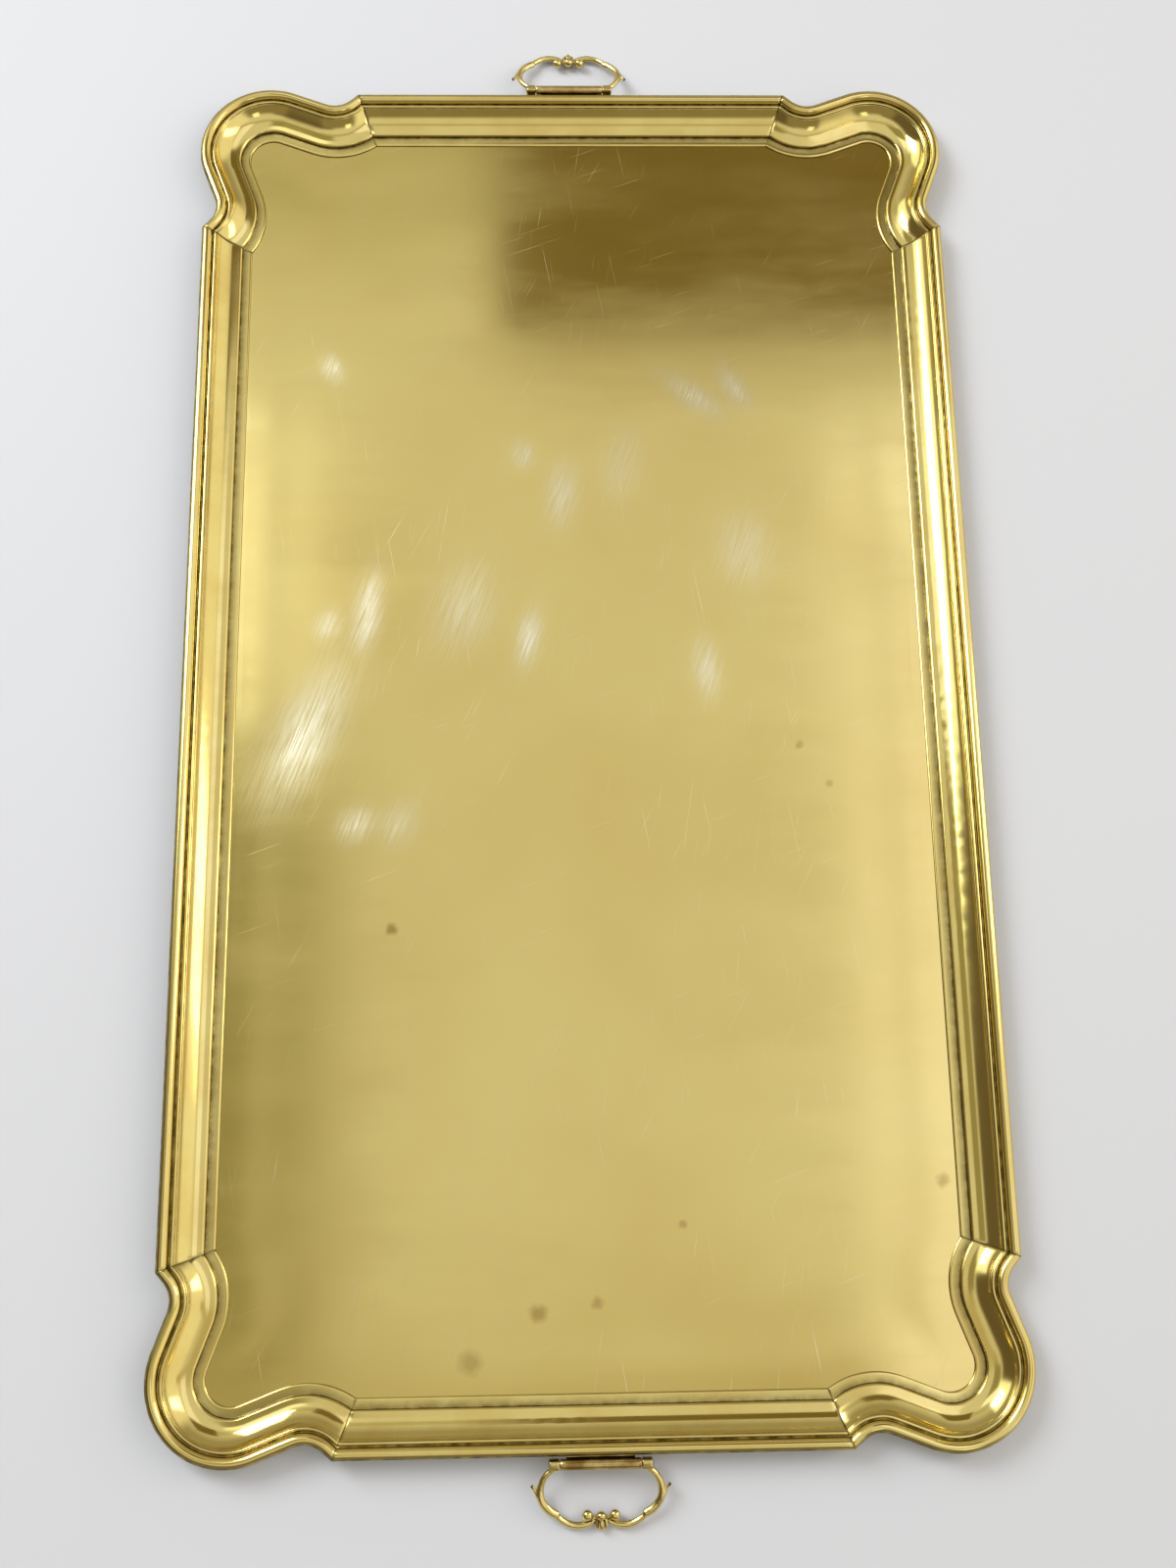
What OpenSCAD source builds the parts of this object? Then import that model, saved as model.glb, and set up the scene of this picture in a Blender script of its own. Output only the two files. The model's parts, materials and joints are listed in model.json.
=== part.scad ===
// Serving tray in polished brass: a flat sheet with a raised moulded border,
// scrolled corners, and a hinged cast bail at each short end.
// Origin: centre of the sheet, on the surface the tray stands on. +Z up, long axis along Y.

/* [Tray] */
// Width over the two long straight sides
tray_w = 440; // [380:1:500]
// Length over the two short straight ends, without the bails
tray_l = 775; // [680:1:860]
// Thickness of the flat sheet
sheet_t = 1.5; // [1.2:0.1:2]
// Depth of the seat round the sheet's edge that the moulding is soldered into
seat = 0.3; // [0.2:0.05:0.5]

/* [Border moulding] */
// Thickness of the metal the moulding is drawn from
wall_t = 1.2; // [1:0.1:1.4]
// Radius of the rolled bead along the outer edge
bead_r = 3; // [2.8:0.1:3.4]
// Height of the bead's centre above the table
bead_z = 12; // [11.5:0.1:13]
// Radius of the small reed inside the bead
reed_r = 0.9; // [0.7:0.05:1]
// Distance from the outer edge to the reed's centre
reed_x = 7.95; // [7.8:0.05:8.2]
// Height of the reed's centre
reed_z = 12; // [11.8:0.05:12.2]
// Height of the web between bead and reed
web_z = 11.2; // [10.8:0.05:11.4]
// Distance from the outer edge to the foot of the cove
cove_x = 22; // [21:0.1:23]
// Height of the foot of the cove
cove_z = 5; // [4.6:0.1:5.4]
// Radius of the cove
cove_r = 15.4; // [15:0.1:15.8]
// Angle that the cove turns through
cove_turn = 58.6; // [57:0.1:60]
// Width of the whole moulding, from outer edge to the lip on the sheet
border_w = 28; // [27:0.1:30]
// How far the sheet reaches outwards from the lip, below the moulding
lap = 5.8; // [4:0.1:6]

/* [Stiffening wire] */
// Radius of the wire inside the bead
wire_r = 1.75; // [1.4:0.05:1.75]
// Clearance between wire and bead
wire_gap = 0.05; // [0.02:0.01:0.1]

/* [Scrolled corner] */
// Straight length after the mitre
lead = 6.25; // [5:0.25:7.5]
// Outer radius of the hollow turn
hollow_r = 14.0625; // [12.5:0.3125:15.625]
// Length of the straight flank
flank = 20; // [18:0.5:22]
// Outer radius of the lobe round the corner
lobe_r = 41.25; // [38.75:0.625:42.5]

/* [Hinges] */
// Distance from the rim's outer edge to the hinge axis
hinge_out = 3.9; // [3.8:0.1:5]
// Height of the hinge axis
hinge_z = 12; // [11.9:0.1:12.3]
// Length of the rolled knuckle
knuckle_l = 40; // [36:0.5:42]
// Outer radius of the knuckle
knuckle_r = 2.7; // [2.6:0.05:2.8]
// Width of the leaf soldered below the rim
leaf_w = 34; // [28:1:36]
// Radius of the hinge pin
pin_r = 1.5; // [1.3:0.05:1.6]
// Running clearance of the pin in the knuckle
pin_run = 0.06; // [0.03:0.01:0.1]
// Clearance of the pin in the bail's ears
pin_seat = 0.02; // [0.01:0.01:0.03]
// Sideways place of the near bail, as it was soldered on
near_shift = 3; // [-4:0.5:4]
// Sideways place of the far bail
far_shift = -1.5; // [-4:0.5:4]

/* [Bails] */
// Angle below level at which a bail rests on the table
droop = 17.3; // [16:0.1:17.4]
// Gap between the knuckle's end and the ear
ear_gap = 0.4; // [0.3:0.05:0.6]
// Width of an ear along the pin
ear_w = 5.2; // [5:0.1:5.4]
// Length of an ear, across the pin in the bail's plane
ear_l = 5; // [4.8:0.1:5.1]
// Thickness of an ear
ear_t = 5; // [4.8:0.1:5.1]
// Radius of the side scroll's centre line
side_r = 12.6; // [12.4:0.05:12.8]
// Sideways place of the side scroll's centre
side_x = 17.7; // [17.5:0.1:17.9]
// Distance from the axis to the side scroll's centre
side_y = 14; // [13.8:0.1:14.2]
// Radius of the foot scroll's centre line
foot_r = 10.2; // [10:0.05:10.4]
// Sideways place of the foot scroll's centre
foot_x = 12; // [11.8:0.1:12.2]
// Distance from the axis to the foot scroll's centre
foot_y = 21.5; // [21.3:0.1:21.7]
// Half thickness of the bail's arms
arm_r = 1.85; // [1.7:0.05:1.9]
// Radius of the volute balls
ball_r = 2.8; // [2.6:0.1:2.9]
// Sideways place of a volute ball
ball_x = 6.8; // [6.4:0.1:7]
// Distance from the axis to the volute balls
ball_y = 25.9; // [25.6:0.1:26.2]
// Radius of the drop between the balls
drop_r = 3.2; // [3:0.1:3.2]
// Distance from the axis to the drop's centre
drop_y = 30.8; // [30.4:0.1:30.9]

/* [Hidden] */

$fn = 64;
polished = [0.80, 0.66, 0.36];
sheet_tone = [0.76, 0.63, 0.34];
drawn_wire = [0.66, 0.52, 0.26];
cast_brass = [0.72, 0.58, 0.28];

edge_round = wall_t / 2;            // rounded edges of the moulding's metal
seat_z = sheet_t - seat;            // height of the seat that the moulding stands in
seat_room = 0.3;                    // solder gap between the lip and the edge of its seat
wire_hole = wire_r + wire_gap;
wire_short = 0.1;                   // each wire stops this far from a mitre
arc_points = 10;                    // points on each round stretch of the sheet's outline
extra_turn = 8;                     // a turn is swept this much too far, then cut square
behind = 12.5;                      // length behind a mitre that its cut removes
far_away = 60;                      // size of the cutting blocks
slack = 1;                          // overlap of a bore with the faces it leaves

// Corner path in the corner's own frame: origin at the square corner, +X and +Y along the sides.
// The flank turns out by the small angle of the 44-117-125 triangle, and the mitre turns the
// outline in by twice that, so every sine and cosine is a short decimal and the stretches meet exactly.
flank_a = atan2(44, 117);
kink = 2 * flank_a;
mitre = flank_a;
// A heading of 0 runs towards the corner along -Y, and grows inwards.
function inward(a) = [cos(a), sin(a)];
function ahead(a) = [sin(a), -cos(a)];
function swap(p) = [p[1], p[0]];
// Steps along the path from the mitre to the centre of the lobe, which lies on the diagonal
hollow_start = lead * ahead(kink);
hollow_c = hollow_start - hollow_r * inward(kink);
flank_start = hollow_c + hollow_r * inward(-flank_a);
lobe_start = flank_start + flank * ahead(-flank_a);
lobe_mid = lobe_start + lobe_r * inward(-flank_a);
corner_len = lobe_mid[0] - lobe_mid[1];     // from the square corner to the mitre
mitre_pt = [0, corner_len];

// The path moved far enough inwards to have no lead left: its hollow turn starts on the mitre
hollow_off = hollow_c * ahead(mitre);       // from the mitre's plane to the hollow turn's centre
function turn_from(q) = mitre + asin(hollow_off / (hollow_r + q));
function half_hollow(q) = [
    for (i = [0 : arc_points])
        mitre_pt + hollow_c
            + (hollow_r + q) * inward(turn_from(q) - i * (turn_from(q) + flank_a) / arc_points)
];
function lobe(q) = [
    for (i = [0 : 2 * arc_points])
        mitre_pt + lobe_mid - (lobe_r - q) * inward(i * (90 + 2 * flank_a) / (2 * arc_points) - flank_a)
];
function reversed(list) = [for (i = [len(list) - 1 : -1 : 0]) list[i]];
function corner_line(q) = concat(half_hollow(q), lobe(q), reversed([for (p = half_hollow(q)) swap(p)]));
function placed(list, sx, sy) = [for (p = list) [sx * (tray_w / 2 - p[0]), sy * (tray_l / 2 - p[1])]];
function tray_line(q) = concat(
    placed(corner_line(q), -1, -1),
    reversed(placed(corner_line(q), 1, -1)),
    placed(corner_line(q), 1, 1),
    reversed(placed(corner_line(q), -1, 1))
);

// Section of the moulding: x is the distance from the outer edge, y the height
module cove_band() {
    intersection() {
        translate([cove_x, cove_z + cove_r]) difference() {
            circle(r = cove_r + wall_t);
            circle(r = cove_r);
        }
        translate([cove_x, cove_z + cove_r]) polygon([
            [0, 0],
            2 * cove_r * [-sin(cove_turn), -cos(cove_turn)],
            [-2 * cove_r, -3 * cove_r],
            [0, -3 * cove_r]
        ]);
    }
}
module moulding() {
    difference() {
        union() {
            translate([bead_r, bead_z]) circle(r = bead_r);
            translate([reed_x, reed_z]) circle(r = reed_r);
            translate([bead_r, web_z - wall_t]) square([reed_x + edge_round - bead_r, wall_t]);
            cove_band();
            translate([cove_x, cove_z - edge_round]) circle(r = edge_round);
            translate([cove_x - edge_round, seat_z]) square([wall_t, cove_z - edge_round - seat_z]);
            translate([cove_x - edge_round, seat_z]) square([border_w - cove_x, wall_t]);
            translate([border_w - edge_round, seat_z + edge_round]) circle(r = edge_round);
        }
        translate([bead_r, bead_z]) circle(r = wire_hole);
    }
}
module wire_section() {
    translate([bead_r, bead_z]) circle(r = wire_r);
}

// A straight run of a section from p, with the given heading
module run(p, heading, length) {
    translate(p) rotate([0, 0, heading]) rotate([90, 0, 0]) linear_extrude(length) children();
}
// Block on the +Y side of a line through the origin at the given angle
module block(angle, back) {
    rotate([0, 0, angle]) translate([-back, 0, -far_away])
        cube([back + 2 * far_away, far_away, 2 * far_away]);
}
// One flank of a corner, from its mitre at the origin: lead, hollow turn and straight flank
module corner_flank(gap) {
    difference() {
        union() {
            run(-behind * ahead(kink), kink, behind + lead) children();
            translate(hollow_c) difference() {
                rotate([0, 0, -flank_a]) rotate_extrude(angle = kink + flank_a + extra_turn)
                    translate([hollow_r, 0]) children();
                block(kink, 0);
            }
        }
        translate([0, -gap]) block(mitre, far_away);
    }
    run(flank_start, -flank_a, flank) children();
}
// A whole corner at the near left
module corner_run(gap) {
    translate([-tray_w / 2, -tray_l / 2]) {
        translate(mitre_pt) corner_flank(gap) children();
        mirror([1, -1, 0]) translate(mitre_pt) corner_flank(gap) children();
        translate(mitre_pt) translate(lobe_mid) difference() {
            rotate([0, 0, 180 - flank_a]) rotate_extrude(angle = 90 + 2 * flank_a + extra_turn)
                translate([lobe_r, 0]) mirror([1, 0]) children();
            block(flank_a - 90, 0);
        }
    }
}
// A straight side at x = -span / 2, with both ends cut on the mitre
module side_run(span, length, gap) {
    uncut = length / 2 - corner_len + behind;
    difference() {
        run([-span / 2, uncut], 0, 2 * uncut) children();
        translate([-span / 2, length / 2]) translate([0, -corner_len - gap]) block(-mitre, far_away);
        mirror([0, 1, 0]) translate([-span / 2, length / 2]) translate([0, -corner_len - gap])
            block(-mitre, far_away);
    }
}

module long_side(side, gap) {
    rotate([0, 0, side < 0 ? 0 : 180]) side_run(tray_w, tray_l, gap) children();
}
module short_end(end, gap) {
    rotate([0, 0, end < 0 ? 90 : -90]) side_run(tray_l, tray_w, gap) children();
}
module corner_at(side, end, gap) {
    mirror([side < 0 ? 0 : 1, 0, 0]) mirror([0, end < 0 ? 0 : 1, 0]) corner_run(gap) children();
}

module base_sheet() {
    color(sheet_tone) {
        linear_extrude(seat_z) polygon(tray_line(border_w - lap));
        linear_extrude(sheet_t) polygon(tray_line(border_w + seat_room));
    }
}

module rim_left() {
    color(polished) long_side(-1, 0) moulding();
}
module rim_right() {
    color(polished) long_side(1, 0) moulding();
}
module rim_near() {
    color(polished) short_end(-1, 0) moulding();
}
module rim_far() {
    color(polished) short_end(1, 0) moulding();
}

module corner_near_left() {
    color(polished) corner_at(-1, -1, 0) moulding();
}
module corner_near_right() {
    color(polished) corner_at(1, -1, 0) moulding();
}
module corner_far_left() {
    color(polished) corner_at(-1, 1, 0) moulding();
}
module corner_far_right() {
    color(polished) corner_at(1, 1, 0) moulding();
}

module wire_left() {
    color(drawn_wire) long_side(-1, wire_short) wire_section();
}
module wire_right() {
    color(drawn_wire) long_side(1, wire_short) wire_section();
}
module wire_near() {
    color(drawn_wire) short_end(-1, wire_short) wire_section();
}
module wire_far() {
    color(drawn_wire) short_end(1, wire_short) wire_section();
}

module wire_near_left() {
    color(drawn_wire) corner_at(-1, -1, wire_short) wire_section();
}
module wire_near_right() {
    color(drawn_wire) corner_at(1, -1, wire_short) wire_section();
}
module wire_far_left() {
    color(drawn_wire) corner_at(-1, 1, wire_short) wire_section();
}
module wire_far_right() {
    color(drawn_wire) corner_at(1, 1, wire_short) wire_section();
}

// Everything on a hinge is drawn for the near end, with the axis along X at the origin,
// the tray on the +Y side and the bail along -Y.
module at_end(end, shift) {
    translate([shift, end * (tray_l / 2 + hinge_out), hinge_z]) rotate([0, 0, end < 0 ? 0 : 180])
        children();
}
module along_x(length) {
    translate([-length / 2, 0, 0]) rotate([90, 0, 90]) linear_extrude(length) children();
}

// Strap rolled into a knuckle, brought down past the bead and soldered below the rim
leaf_t = knuckle_r - pin_r - pin_run;
leaf_top = bead_z - bead_r - hinge_z;
leaf_reach = 9.8 + hinge_out;       // the leaf's edge meets the back of the cove here
module hinge_leaf() {
    difference() {
        union() {
            along_x(knuckle_l) circle(r = knuckle_r);
            along_x(leaf_w) translate([knuckle_r - leaf_t, leaf_top - leaf_t])
                square([leaf_t, leaf_t - leaf_top]);
            along_x(leaf_w) translate([knuckle_r - leaf_t, leaf_top - leaf_t])
                square([leaf_reach - knuckle_r + leaf_t, leaf_t]);
        }
        along_x(knuckle_l + 2 * slack) circle(r = pin_r + pin_run);
    }
}
module hinge_leaf_near() {
    color(polished) at_end(-1, near_shift) hinge_leaf();
}
module hinge_leaf_far() {
    color(polished) at_end(1, far_shift) hinge_leaf();
}

pin_l = knuckle_l + 2 * (ear_gap + ear_w);
module hinge_pin() {
    along_x(pin_l) circle(r = pin_r);
}
module hinge_pin_near() {
    color(drawn_wire) at_end(-1, near_shift) hinge_pin();
}
module hinge_pin_far() {
    color(drawn_wire) at_end(1, far_shift) hinge_pin();
}

// Cast bail: two ears, side scrolls with a thorn, foot scrolls, two volute balls and a drop
ear_x = knuckle_l / 2 + ear_gap;
side_from = 104;                    // the side scroll starts inside the ear
side_to = 249;
foot_from = 204;
foot_to = 312;
thorn_root = [30.8, -15.5];
thorn_tip = [34.4, -10.4];
thorn_root_r = 1.3;
thorn_neck_r = 0.75;
thorn_tip_r = 0.9;
knot_r = 2.2;                       // leaf collar where the two scrolls meet
knot = [22, -25.8];
neck_y = 26.7;
neck_r = 2.6;
back = 2;                           // half thickness of the flat back
module arc_rod(c, r, from, to) {
    translate(c) rotate([0, 0, from]) rotate_extrude(angle = to - from) translate([r, 0]) circle(r = arm_r);
}
module thorn() {
    reach = thorn_tip - thorn_root;
    translate(thorn_root) rotate([0, 0, atan2(reach[1], reach[0])]) rotate([0, 90, 0])
        cylinder(r1 = thorn_root_r, r2 = thorn_neck_r, h = norm(reach));
    translate(thorn_tip) sphere(r = thorn_tip_r);
}
module half_bail() {
    translate([-ear_x - ear_w, -ear_l / 2, -ear_t / 2]) cube([ear_w, ear_l, ear_t]);
    arc_rod([-side_x, -side_y], side_r, side_from, side_to);
    arc_rod([-foot_x, -foot_y], foot_r, foot_from, foot_to);
    translate([-knot[0], knot[1]]) sphere(r = knot_r);
    mirror([1, 0, 0]) thorn();
    translate([-ball_x, -ball_y]) sphere(r = ball_r);
}
module drop() {
    translate([0, -neck_y]) sphere(r = neck_r);
    translate([0, -neck_y]) rotate([90, 0, 0]) cylinder(r1 = neck_r, r2 = drop_r, h = drop_y - neck_y);
    translate([0, -drop_y]) sphere(r = drop_r);
    rotate([0, 90, 0]) translate([0, -ball_y - slack, -ball_x]) cylinder(r = arm_r, h = 2 * ball_x);
}
module bail() {
    rotate([droop, 0, 0]) difference() {
        union() {
            half_bail();
            mirror([1, 0, 0]) half_bail();
            drop();
        }
        translate([-far_away / 2, -far_away, -back - far_away])
            cube([far_away, far_away - ear_l, far_away]);
        along_x(pin_l + 2 * slack) circle(r = pin_r + pin_seat);
    }
}
module bail_near() {
    color(cast_brass) at_end(-1, near_shift) bail();
}
module bail_far() {
    color(cast_brass) at_end(1, far_shift) bail();
}

base_sheet();
rim_left();
rim_right();
rim_near();
rim_far();
corner_near_left();
corner_near_right();
corner_far_left();
corner_far_right();
wire_left();
wire_right();
wire_near();
wire_far();
wire_near_left();
wire_near_right();
wire_far_left();
wire_far_right();
hinge_leaf_near();
hinge_leaf_far();
hinge_pin_near();
hinge_pin_far();
bail_near();
bail_far();
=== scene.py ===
import json
import math

import bmesh
import bpy
import numpy as np
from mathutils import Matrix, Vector, geometry, noise


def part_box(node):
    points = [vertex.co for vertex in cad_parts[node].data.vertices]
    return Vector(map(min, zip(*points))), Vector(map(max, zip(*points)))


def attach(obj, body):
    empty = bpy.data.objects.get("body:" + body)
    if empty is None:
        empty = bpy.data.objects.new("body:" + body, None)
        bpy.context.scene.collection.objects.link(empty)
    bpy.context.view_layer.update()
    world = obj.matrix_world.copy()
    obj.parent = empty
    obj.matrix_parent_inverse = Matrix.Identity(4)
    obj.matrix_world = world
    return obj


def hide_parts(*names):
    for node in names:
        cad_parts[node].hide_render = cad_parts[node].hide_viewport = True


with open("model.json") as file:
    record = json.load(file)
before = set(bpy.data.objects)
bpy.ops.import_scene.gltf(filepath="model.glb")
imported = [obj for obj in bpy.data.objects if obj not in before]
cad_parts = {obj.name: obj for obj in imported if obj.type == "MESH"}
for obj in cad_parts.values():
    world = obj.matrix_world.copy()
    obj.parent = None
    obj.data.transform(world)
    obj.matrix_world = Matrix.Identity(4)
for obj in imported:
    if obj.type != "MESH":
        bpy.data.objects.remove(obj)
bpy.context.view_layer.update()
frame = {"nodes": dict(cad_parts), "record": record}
mm = 0.001


def fromHex(code):
    parts = [int(code[i:i + 2], 16) / 255 for i in (1, 3, 5)]
    return [p / 12.92 if p <= 0.04045 else ((p + 0.055) / 1.055) ** 2.4 for p in parts] + [1]


def perMetre(size):  # noise scale whose features are about this many millimetres across
    return 1000 / size


def addNode(tree, kind, values=(), links=()):
    made = tree.nodes.new("ShaderNode" + kind)
    for key, value in dict(values).items():
        if isinstance(key, str) and hasattr(made, key):
            setattr(made, key, value)
        else:
            made.inputs[key].default_value = value
    for key, source in dict(links).items():
        tree.links.new(source, made.inputs[key])
    return made


def startMaterial(name):
    material = bpy.data.materials.new(name)
    material.use_nodes = True
    tree = material.node_tree
    tree.nodes.clear()
    return material, tree


def finishMaterial(tree, values, links):
    shader = addNode(tree, "BsdfPrincipled", values, links)
    addNode(tree, "OutputMaterial", links={"Surface": shader.outputs[0]})


# Sizes that come from the frame
leftLow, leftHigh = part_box("rim_left")
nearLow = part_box("rim_near")[0]
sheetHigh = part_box("base_sheet")[1]
halfWidth = -leftLow[0] / mm
halfLength = -nearLow[1] / mm
cornerLength = halfLength + leftLow[1] / mm
lipInset = (leftHigh[0] - leftLow[0]) / mm
rimTop = leftHigh[2] / mm
seatHeight = leftLow[2] / mm
sheetTop = sheetHigh[2] / mm
sheetInset = halfWidth - sheetHigh[0] / mm
hinges = {joint["name"]: [v / mm for v in joint["pos_m"]] for joint in frame["record"]["behaviour"]["joints"]}

# Drawn border moulding: section of the strip, in millimetres and degrees
moulding = {
    "beadRadius": 3.0,
    "beadStart": -12,
    "beadSeam": 316,  # where the roll closes, on its underside
    "wireHole": 1.8,
    "wireEnd": -39,
    "webTop": 11.2,
    "metal": 1.2,
    "reedRadius": 0.9,
    "reedInset": 7.95,
    "coveRadius": 15.4,
    "coveInset": 22.0,
    "coveFoot": 5.0,
    "coveStart": 266.8,
    "coveEnd": 212.6,
    "backEnd": 267.9,
    "footFillet": 0.5,
    "grooveFillet": 0.55,
    "grooveWidth": 1.35,
    "edgeRound": 1.3,  # the strip bends softly over the edge of the cove
    "lipRound": 1.2,
    "ringStep": 2.2,  # distance between rings along a straight side
    "jointDepth": 0.16,  # how far the solder joint sinks at a mitre
    "jointWidth": 0.7,
    "jointAbove": 3.0,  # it sinks only above this height
    "jointDirt": 0.9,
    "jointDirtWidth": 0.6,
    "jointRings": (0, 0.2, 0.5, 0.9, 1.5),
    "jointRoom": 2.5,
    "mitreShare": 0.2,  # end part of a side where its rings lean over to the mitre
    "waveDepth": 0.05,  # unevenness left by drawing and soldering
    "waveLength": 34.0,
    "beadCalm": 0.4,  # height at which the painted shade round the bead starts
    "edgeShadeFrom": 7.0,  # height at which the dark edge starts
    "edgeShadeWidth": 1.5,  # width of the painted shade and painted dark reflection round the outside of the bead
    "lessShadeRight": 0.9,  # share of that painted shade left off on the right side
    # inset, height and width of each line of old polish and tarnish
    "darkLines": [
        (5.95, 11.3, 0.45), (6.7, 11.2, 0.7), (7.25, 11.4, 0.35), (8.85, 12.3, 0.3),
        (22.8, 2.7, 0.62), (22.6, 3.5, 0.5), (lipInset, 1.4, 0.5), (5.3, 9.7, 0.9),
    ],
}

# Scrolled corner: path of the outer edge, in millimetres
scroll = {
    "lead": 6.25,
    "hollowRadius": 14.0625,
    "flank": 20.0,
    "lobeRadius": 41.25,
    "crowding": 1.35,  # closer rings beside the joint
    "flankTurn": math.atan2(44, 117),
    "firstSteps": 26,
    "flankSteps": 9,
    "lobeSteps": 22,
}

# Hammer marks, in millimetres, and where the cove was planished after soldering: node, from, to and depth
hammer = {"fade": 25, "coveFrom": 8.8, "coveTo": 21.6, "markSize": 6.5, "dentSize": 5.0}
planished = [
    ("rim_right", -150, 110, 0.075),
    ("rim_right", 190, 270, 0.05),
    ("rim_near", -45, 5, 0.09),
    ("rim_left", -120, 30, 0.03),
]


def arc(centre, radius, start, end, steps):
    angles = np.radians(np.linspace(start, end, steps + 1))
    return np.array(centre) + np.array(radius) * np.stack([np.cos(angles), np.sin(angles)], -1)


def mouldingSection():
    m = moulding
    bead = (m["beadRadius"], rimTop - m["beadRadius"])
    reed = (m["reedInset"], bead[1])
    cove = (m["coveInset"], m["coveFoot"] + m["coveRadius"])
    half = m["metal"] / 2
    lip = (lipInset - half, seatHeight + half)
    backRadius = m["coveRadius"] + m["metal"]
    webLow = m["webTop"] - m["metal"]
    backStart = 180 + math.degrees(math.asin((cove[1] - webLow) / backRadius))
    wall, foot, groove = m["coveInset"] + half, m["footFillet"], m["grooveFillet"]
    runs = [
        arc(bead, m["beadRadius"], m["beadStart"], m["beadSeam"], 40),  # over the bead to the seam below it
        arc(bead, m["wireHole"], m["beadSeam"], m["wireEnd"], 22),  # back round the wire
        arc(cove, backRadius, backStart, m["backEnd"], 10),
        [(m["coveInset"] - half, seatHeight), (lip[0], seatHeight)],
        arc(lip, half, -80, 0, 4),
        arc((lipInset - m["lipRound"], lip[1]), (m["lipRound"], half), 8, 90, 8),
        arc((wall + foot, seatHeight + m["metal"] + foot), foot, 270, 180, 4),
        arc((wall - m["edgeRound"], m["coveFoot"] - m["edgeRound"]), m["edgeRound"], 0, 90, 10),
        arc(cove, m["coveRadius"], m["coveStart"], m["coveEnd"], 22),
        arc(reed, m["reedRadius"], 8, 222, 14),
        arc((m["reedInset"] - m["grooveWidth"], m["webTop"] + groove), groove, 300, 225, 4),
    ]
    section = np.concatenate([np.array(run, float) for run in runs])
    grime = np.zeros(len(section))
    for x, y, width in m["darkLines"]:
        distance = np.hypot(section[:, 0] - x, section[:, 1] - y)
        grime = np.maximum(grime, np.exp(-(distance / width) ** 2))
    return section, grime


def inward(angle):
    return np.stack([np.cos(angle), np.sin(angle)], -1)


def ahead(angle):
    return np.stack([np.sin(angle), -np.cos(angle)], -1)


def halfCorner(inset):
    # Rings from the mitre to the diagonal, in the corner's frame with the mitre at the origin
    turn = scroll["flankTurn"]
    kink = 2 * turn
    hollowStart = scroll["lead"] * ahead(kink)
    hollowCentre = hollowStart - scroll["hollowRadius"] * inward(kink)
    lobeStart = hollowCentre + scroll["hollowRadius"] * inward(-turn) + scroll["flank"] * ahead(-turn)
    lobeCentre = lobeStart + scroll["lobeRadius"] * inward(-turn)
    radius = scroll["hollowRadius"] + inset
    fromMitre = turn + np.arcsin(np.clip(hollowCentre @ ahead(turn) / radius, -1, 1))
    begin = np.minimum(kink, fromMitre)
    straight = np.maximum(0, scroll["lead"] - inset * math.tan(turn))
    curved = radius * (begin + turn)
    rings = []
    for i in range(scroll["firstSteps"] + 1):
        t = i / scroll["firstSteps"]
        walked = t ** scroll["crowding"] * (straight + curved)
        angle = begin - np.maximum(0, walked - straight) / radius
        point = hollowCentre + radius[:, None] * inward(angle)
        rings.append(point - np.maximum(0, straight - walked)[:, None] * ahead(kink))
    flankStart = rings[-1]
    for i in range(1, scroll["flankSteps"] + 1):
        rings.append(flankStart + i / scroll["flankSteps"] * scroll["flank"] * ahead(-turn))
    for i in range(1, scroll["lobeSteps"] + 1):
        angle = -turn + i / scroll["lobeSteps"] * (math.pi / 4 + turn)
        radius = scroll["lobeRadius"] - inset
        rings.append(lobeCentre - radius[:, None] * inward(np.full(len(inset), angle)))
    return rings


def cornerRings(inset):
    # The whole corner from the long side's mitre to the short end's, as distances from the two outer edges
    half = [ring + np.array([0, cornerLength]) for ring in halfCorner(inset)]
    return half + [ring[:, ::-1] for ring in half[-2::-1]]


def sideRings(inset, length):
    # A straight side from mitre to mitre, as distance from its edge and place along it
    m = moulding
    reach = length - cornerLength
    steps = int(2 * reach / m["ringStep"])
    joint = np.array(m["jointRings"])
    plain = np.linspace(-reach + m["jointRoom"], reach - m["jointRoom"], steps)
    places = np.concatenate([-reach + joint, plain, reach - joint[::-1]])
    shear = np.clip(1 - (1 - np.abs(places) / reach) / m["mitreShare"], 0, 1) * np.sign(places)
    slope = math.tan(scroll["flankTurn"])
    return [np.stack([inset, np.full(len(inset), p) - s * inset * slope], -1) for p, s in zip(places, shear)]


def addPiece(name, points, faces, body, node, material):
    mesh = bpy.data.meshes.new(name)
    mesh.from_pydata([tuple(p) for p in points], [], faces)
    mesh.polygons.foreach_set("use_smooth", [True] * len(mesh.polygons))
    mesh.materials.append(material)
    mesh.update()
    piece = bpy.data.objects.new(name, mesh)
    bpy.context.collection.objects.link(piece)
    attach(piece, body)
    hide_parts(node)
    return piece


def paint(mesh, name, values):
    layer = mesh.attributes.new(name, "FLOAT", "POINT")
    layer.data.foreach_set("value", np.asarray(values, dtype=np.float32))


def ringFaces(here, there, around):
    # Sides between two rings, from the place of each ring's first point in the list
    return [(here + k, here + (k + 1) % around, there + (k + 1) % around, there + k) for k in range(around)]


def loftFaces(rings, around):
    # Sides between rings that follow each other in the list of points, and a cap at both ends
    faces = [face for i in range(rings - 1) for face in ringFaces(i * around, (i + 1) * around, around)]
    faces.append(tuple(range(around - 1, -1, -1)))
    faces.append(tuple((rings - 1) * around + k for k in range(around)))
    return faces


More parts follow.
